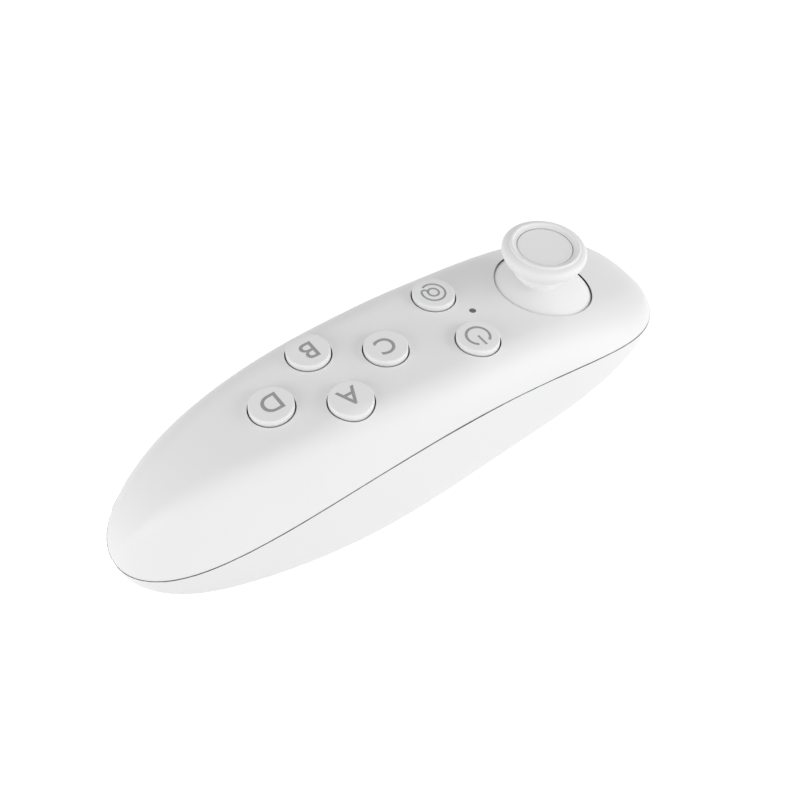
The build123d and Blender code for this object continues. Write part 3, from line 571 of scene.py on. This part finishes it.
def print_on_key(name, face, legends):
    """Lays a flat mark on a key's top, as a thin closed layer that follows the crown."""
    low, high = (Vector(corner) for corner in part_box(f"button_{name}"))
    centre = (low + high) / 2
    refinements = 3
    bmesh.ops.triangulate(face, faces=face.faces)
    for _ in range(refinements):
        long_edges = [edge for edge in face.edges if edge.calc_length() > legends.stroke]
        bmesh.ops.subdivide_edges(face, edges=long_edges, cuts=1)
        bmesh.ops.triangulate(face, faces=face.faces)
    tree = BVHTree.FromObject(nodes[f"button_{name}"], bpy.context.evaluated_depsgraph_get())
    above = cad_box[1][2] + 10 * millimetre
    root = 2 * legends.layer
    for vertex in face.verts:
        # A turn by half, so that the marks are upright for a viewer beyond the far wall
        spot = Vector((centre.x - vertex.co.x, centre.y - vertex.co.y, above))
        hit = tree.ray_cast(spot, Vector((0, 0, -1)))[0]
        vertex.co = hit + Vector((0, 0, legends.layer))
    shell = bmesh.ops.extrude_face_region(face, geom=face.faces)
    for item in shell["geom"]:
        if isinstance(item, bmesh.types.BMVert):
            item.co.z -= legends.layer + root
    bmesh.ops.recalc_face_normals(face, faces=face.faces)
    mesh = bpy.data.meshes.new(f"mark_{name}")
    face.to_mesh(mesh)
    face.free()
    mesh.materials.append(bpy.data.materials["legend_grey"])
    return new_object(f"mark_{name}", mesh)


# Settings that a user would change


class RemoteFinish(PropertyGroup):
    """Colours and surfaces of the remote."""

    shell_colour: FloatVectorProperty(
        name="Shell colour",
        description="Colour of the two shells, the door and the triggers",
        subtype="COLOR",
        min=0,
        max=1,
        default=(0.9, 0.9, 0.902),
    )
    key_colour: FloatVectorProperty(
        name="Key colour",
        description="Colour of the round keys",
        subtype="COLOR",
        min=0,
        max=1,
        default=(0.9, 0.9, 0.902),
    )
    mark_colour: FloatVectorProperty(
        name="Mark colour",
        description="Colour of the printed key marks",
        subtype="COLOR",
        min=0,
        max=1,
        default=(0.36, 0.36, 0.365),
    )
    # Painted shadow: a dark strip stands in the gap between the shells in place of the shade there
    seam_colour: FloatVectorProperty(
        name="Seam colour",
        description="Colour in the gap between the shells",
        subtype="COLOR",
        min=0,
        max=1,
        default=(0.1, 0.1, 0.1),
    )
    # Width of the painted shadow strip, which covers the gap and a little of each shell's edge
    seam_width: FloatProperty(
        name="Seam width",
        description="Width of the dark line between the shells, with their worn edges",
        unit="LENGTH",
        min=0.00001,
        default=0.00026,
    )
    pad_colour: FloatVectorProperty(
        name="Pad colour",
        description="Colour of the disc on top of the thumbstick",
        subtype="COLOR",
        min=0,
        max=1,
        default=(0.93, 0.93, 0.932),
    )
    shell_roughness: FloatProperty(
        name="Shell roughness",
        description="Roughness of the moulded shells",
        subtype="FACTOR",
        min=0.02,
        max=1,
        default=0.42,
    )
    grain_depth: FloatProperty(
        name="Grain depth",
        description="Depth of the moulded texture",
        unit="LENGTH",
        min=0,
        default=0.000006,
    )


class RemoteLegends(PropertyGroup):
    """Size of the marks on the keys."""

    letter_height: FloatProperty(
        name="Letter height",
        description="Height of the capital letters",
        unit="LENGTH",
        min=0.001,
        default=0.0043,
    )
    sign_radius: FloatProperty(
        name="Sign radius",
        description="Outer radius of the standby sign and the at sign",
        unit="LENGTH",
        min=0.001,
        default=0.0027,
    )
    stroke: FloatProperty(
        name="Stroke",
        description="Width of the lines of the two signs",
        unit="LENGTH",
        min=0.0001,
        default=0.00056,
    )
    layer: FloatProperty(
        name="Layer",
        description="Height of the printed marks above the keys",
        unit="LENGTH",
        min=0.000001,
        default=0.00001,
    )


class RemoteStudio(PropertyGroup):
    """Camera and lights."""

    lens: FloatProperty(
        name="Lens",
        description="Focal length on a 36 mm wide sensor, in millimetres",
        min=10,
        default=55.823,
    )
    azimuth: FloatProperty(
        name="Azimuth",
        description="Direction of the camera round the remote",
        subtype="ANGLE",
        default=math.radians(-34.988),
    )
    elevation: FloatProperty(
        name="Elevation",
        description="Height of the camera above the floor's plane",
        subtype="ANGLE",
        default=math.radians(50.962),
    )
    roll: FloatProperty(
        name="Roll",
        description="Turn of the camera about its own axis",
        subtype="ANGLE",
        default=math.radians(-1.022),
    )
    distance: FloatProperty(
        name="Distance",
        description="Distance from the camera to the point that it looks at",
        unit="LENGTH",
        default=0.2615,
    )
    look_height: FloatProperty(
        name="Look height",
        description="Height of the point that the camera looks at",
        unit="LENGTH",
        default=0.025162,
    )
    look_forward: FloatProperty(
        name="Look forward",
        description="Distance of that point from the remote's middle, towards the nose",
        unit="LENGTH",
        default=0.001916,
    )
    key_power: FloatProperty(
        name="Key light",
        description="Power of the soft light in front of the nose, in watts",
        min=0,
        default=2.5,
    )
    side_power: FloatProperty(
        name="Side light",
        description="Power of the soft light beyond the tail, in watts",
        min=0,
        default=2.1,
    )
    sky_strength: FloatProperty(
        name="Sky strength",
        description="Strength of the even light from all round",
        min=0,
        default=0.55,
    )
    bounce_strength: FloatProperty(
        name="Bounce strength",
        description="Strength that the light from below has above that of the sky",
        min=0,
        default=0.13,
    )


# Operators, one for each group of pieces


class OBJECT_OT_remote_housing(Operator):
    """Finishes the two shells and the battery door"""

    bl_idname = "object.remote_housing"
    bl_label = "Finish Housing"

    def execute(self, context):
        finish = context.scene.remote_finish

        def plastic(slot):
            return moulded_plastic(slot, finish.shell_colour, finish.shell_roughness, finish.grain_depth)

        paint({"housing_white"}, plastic)
        # A dark strip in the gap between the shells, as the gap's painted shadow
        mesh = seam_ring(finish.seam_width)
        mesh.materials.append(
            moulded_plastic("seam_shade", finish.seam_colour, roughness=0.7, grain_depth=finish.grain_depth)
        )
        seam_shadow = new_object("parting_seam_shadow", mesh)
        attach(seam_shadow, "housing")
        return {"FINISHED"}


class OBJECT_OT_remote_keys(Operator):
    """Finishes the round keys and prints a mark on each"""

    bl_idname = "object.remote_keys"
    bl_label = "Finish Keys"

    def execute(self, context):
        finish = context.scene.remote_finish
        legends = context.scene.remote_legends

        def plastic(slot):
            return moulded_plastic(slot, finish.key_colour, finish.shell_roughness, finish.grain_depth)

        paint({"button_white"}, plastic)
        moulded_plastic("legend_grey", finish.mark_colour, roughness=0.6, grain_depth=finish.grain_depth)
        fine_stroke = 0.8 * legends.stroke
        faces = {name: letter_face(letter, legends.letter_height) for name, letter in key_letters.items()}
        faces["mode"] = at_sign_face(legends.sign_radius, fine_stroke)
        faces["power"] = standby_face(legends.sign_radius, legends.stroke)
        for name, face in faces.items():
            mark = print_on_key(name, face, legends)
            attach(mark, f"button_{name}")
        return {"FINISHED"}


class OBJECT_OT_remote_thumbstick(Operator):
    """Finishes the cap, skirt and pad of the thumbstick"""

    bl_idname = "object.remote_thumbstick"
    bl_label = "Finish Thumbstick"

    def execute(self, context):
        finish = context.scene.remote_finish

        def plastic(slot):
            return moulded_plastic(slot, finish.shell_colour, finish.shell_roughness, finish.grain_depth)

        def rubber(slot):
            rough_grain = 2 * finish.grain_depth
            return moulded_plastic(
                slot, finish.pad_colour, roughness=0.62, grain_depth=rough_grain, grain_scale=3400
            )

        paint({"stick_white"}, plastic)
        paint({"stick_pad"}, rubber)
        return {"FINISHED"}


class OBJECT_OT_remote_triggers(Operator):
    """Finishes the two triggers under the nose"""

    bl_idname = "object.remote_triggers"
    bl_label = "Finish Triggers"

    def execute(self, context):
        finish = context.scene.remote_finish

        def plastic(slot):
            rough_grain = 2 * finish.grain_depth
            return moulded_plastic(slot, finish.shell_colour, roughness=0.45, grain_depth=rough_grain)

        paint({"trigger_grey"}, plastic)
        return {"FINISHED"}


class OBJECT_OT_remote_insides(Operator):
    """Finishes the boards, switches, thumbstick module and cells"""

    bl_idname = "object.remote_insides"
    bl_label = "Finish Insides"

    def execute(self, context):
        rough_grain = 2 * context.scene.remote_finish.grain_depth

        def dark_plastic(slot):
            return moulded_plastic(
                slot, record_colour(slot), roughness=0.5, grain_depth=rough_grain, grain_scale=1800, flow=0.06
            )

        def metal(slot):
            return plain_metal(slot, record_colour(slot))

        def board(slot):
            return circuit_board(slot, record_colour(slot))

        def sleeve(slot):
            return cell_sleeve(slot, record_colour(slot))

        def pipe(slot):
            return smoked_pipe(slot, record_colour(slot))

        def strip(slot):
            return flex_strip(slot, record_colour(slot))

        plastics = {"chip_black", "switch_body", "plunger_black", "shaft_grey", "sensor_body", "lamp"}
        metals = {"shield_steel", "spring_steel", "contact_nickel", "screw_steel"}
        paint(plastics, dark_plastic)
        paint(metals, metal)
        paint({"circuit_board"}, board)
        paint({"cell_wrap"}, sleeve)
        paint({"light_pipe"}, pipe)
        paint({"flex_amber"}, strip)
        return {"FINISHED"}


def soft_light(name, place, target, power):
    """Square area light that faces a point."""
    lamp = bpy.data.lights.new(name, "AREA")
    lamp.shape = "SQUARE"
    lamp.size = 0.5
    lamp.energy = power
    light = new_object(name, lamp)
    light.location = place
    light.rotation_euler = (target - place).to_track_quat("-Z", "Y").to_euler()


def background_rays(tree):
    """One where a camera, a gloss or a clear surface looks at the background, otherwise nought."""
    path = add_node(tree, "ShaderNodeLightPath").outputs
    reflected = math_node(tree, "MAXIMUM", path["Is Glossy Ray"], path["Is Transmission Ray"])
    return math_node(tree, "MAXIMUM", path["Is Camera Ray"], reflected)


def studio_floor():
    """White floor that keeps a faint shadow, clear from below."""
    material = bpy.data.materials.new("floor_white")
    material.use_nodes = True
    tree = material.node_tree
    tree.nodes.clear()
    paper = add_node(tree, "ShaderNodeBsdfDiffuse", Color=(0.8, 0.8, 0.8, 1))
    glow = add_node(tree, "ShaderNodeEmission", Color=(1, 1, 1, 1), Strength=0.82)
    faint = add_node(tree, "ShaderNodeBsdfDiffuse", Color=(0.45, 0.45, 0.45, 1))
    seen = add_node(tree, "ShaderNodeAddShader")
    tree.links.new(glow.outputs[0], seen.inputs[0])
    tree.links.new(faint.outputs[0], seen.inputs[1])
    choice = add_node(tree, "ShaderNodeMixShader")
    tree.links.new(background_rays(tree), choice.inputs[0])
    tree.links.new(paper.outputs[0], choice.inputs[1])
    tree.links.new(seen.outputs[0], choice.inputs[2])
    one_way = add_node(tree, "ShaderNodeMixShader")
    tree.links.new(add_node(tree, "ShaderNodeNewGeometry").outputs["Backfacing"], one_way.inputs[0])
    tree.links.new(choice.outputs[0], one_way.inputs[1])
    tree.links.new(add_node(tree, "ShaderNodeBsdfTransparent").outputs[0], one_way.inputs[2])
    leave = add_node(tree, "ShaderNodeOutputMaterial")
    tree.links.new(one_way.outputs[0], leave.inputs["Surface"])
    solid = bmesh.new()
    half_side = 3.0
    bmesh.ops.create_grid(solid, x_segments=1, y_segments=1, size=half_side)
    mesh = bpy.data.meshes.new("floor")
    solid.to_mesh(mesh)
    solid.free()
    mesh.materials.append(material)
    floor = new_object("floor", mesh)
    clearance = 0.02 * millimetre
    floor.location.z = cad_box[0][2] - clearance
    # The sky lights the underside through the floor, which would leave it black where it rests
    floor.visible_diffuse = False
    floor.visible_shadow = False


def studio_world(strength, bounce):
    """Even sky light with a bounce from below, white where it is looked at."""
    world = bpy.data.worlds.new("studio")
    world.use_nodes = True
    tree = world.node_tree
    light = tree.nodes["Background"]
    light.inputs["Color"].default_value = (1, 1, 1, 1)
    direction = add_node(tree, "ShaderNodeSeparateXYZ")
    tree.links.new(add_node(tree, "ShaderNodeTexCoord").outputs["Generated"], direction.inputs[0])
    below = math_node(tree, "LESS_THAN", direction.outputs["Z"], 0.0)
    extra = math_node(tree, "MULTIPLY", below, bounce)
    tree.links.new(math_node(tree, "ADD", extra, strength), light.inputs["Strength"])
    white = add_node(tree, "ShaderNodeBackground", Color=(1, 1, 1, 1), Strength=1.0)
    choice = add_node(tree, "ShaderNodeMixShader")
    tree.links.new(background_rays(tree), choice.inputs[0])
    tree.links.new(light.outputs[0], choice.inputs[1])
    tree.links.new(white.outputs[0], choice.inputs[2])
    tree.links.new(choice.outputs[0], tree.nodes["World Output"].inputs["Surface"])
    bpy.context.scene.world = world


def studio_camera(studio):
    """Camera at the photograph's place."""
    data = bpy.data.cameras.new("camera")
    data.sensor_width = 36
    data.lens = studio.lens
    data.clip_start = 0.01
    camera = new_object("camera", data)
    turn = Matrix.Rotation(studio.azimuth, 4, "Z")
    tip = Matrix.Rotation(math.pi / 2 - studio.elevation, 4, "X")
    roll = Matrix.Rotation(studio.roll, 4, "Z")
    target = Matrix.Translation((studio.look_forward, 0, studio.look_height))
    camera.matrix_world = target @ turn @ tip @ Matrix.Translation((0, 0, studio.distance)) @ roll
    bpy.context.scene.camera = camera


class OBJECT_OT_remote_studio(Operator):
    """Sets up the floor, the lights and the camera"""

    bl_idname = "object.remote_studio"
    bl_label = "Set Up Studio"

    def execute(self, context):
        studio = context.scene.remote_studio
        target = Vector((studio.look_forward, 0, studio.look_height))
        key_place = Vector((0.5, -0.5, 0.2))
        side_place = Vector((-0.7, -0.1, 0.3))
        soft_light("key", key_place, target, studio.key_power)
        soft_light("side", side_place, target, studio.side_power)
        studio_floor()
        studio_world(studio.sky_strength, studio.bounce_strength)
        studio_camera(studio)
        context.scene.view_settings.view_transform = "Standard"
        return {"FINISHED"}


class VIEW3D_PT_remote(Panel):
    """Steps and settings of the remote"""

    bl_idname = "VIEW3D_PT_remote"
    bl_label = "Thumbstick Remote"
    bl_space_type = "VIEW_3D"
    bl_region_type = "UI"
    bl_category = "Remote"

    def draw(self, context):
        for step in steps:
            self.layout.operator(step.bl_idname)
        scene = context.scene
        for group in (scene.remote_finish, scene.remote_legends, scene.remote_studio):
            box = self.layout.box()
            for label in group.__annotations__:
                box.prop(group, label)


steps = (
    OBJECT_OT_remote_housing,
    OBJECT_OT_remote_keys,
    OBJECT_OT_remote_thumbstick,
    OBJECT_OT_remote_triggers,
    OBJECT_OT_remote_insides,
    OBJECT_OT_remote_studio,
)
classes = (RemoteFinish, RemoteLegends, RemoteStudio, *steps, VIEW3D_PT_remote)


def register():
    for kind in classes:
        bpy.utils.register_class(kind)
    bpy.types.Scene.remote_finish = PointerProperty(type=RemoteFinish)
    bpy.types.Scene.remote_legends = PointerProperty(type=RemoteLegends)
    bpy.types.Scene.remote_studio = PointerProperty(type=RemoteStudio)


def unregister():
    del bpy.types.Scene.remote_studio
    del bpy.types.Scene.remote_legends
    del bpy.types.Scene.remote_finish
    for kind in reversed(classes):
        bpy.utils.unregister_class(kind)


def main():
    register()
    bpy.ops.object.remote_housing()
    bpy.ops.object.remote_keys()
    bpy.ops.object.remote_thumbstick()
    bpy.ops.object.remote_triggers()
    bpy.ops.object.remote_insides()
    bpy.ops.object.remote_studio()


if __name__ == "__main__":
    main()
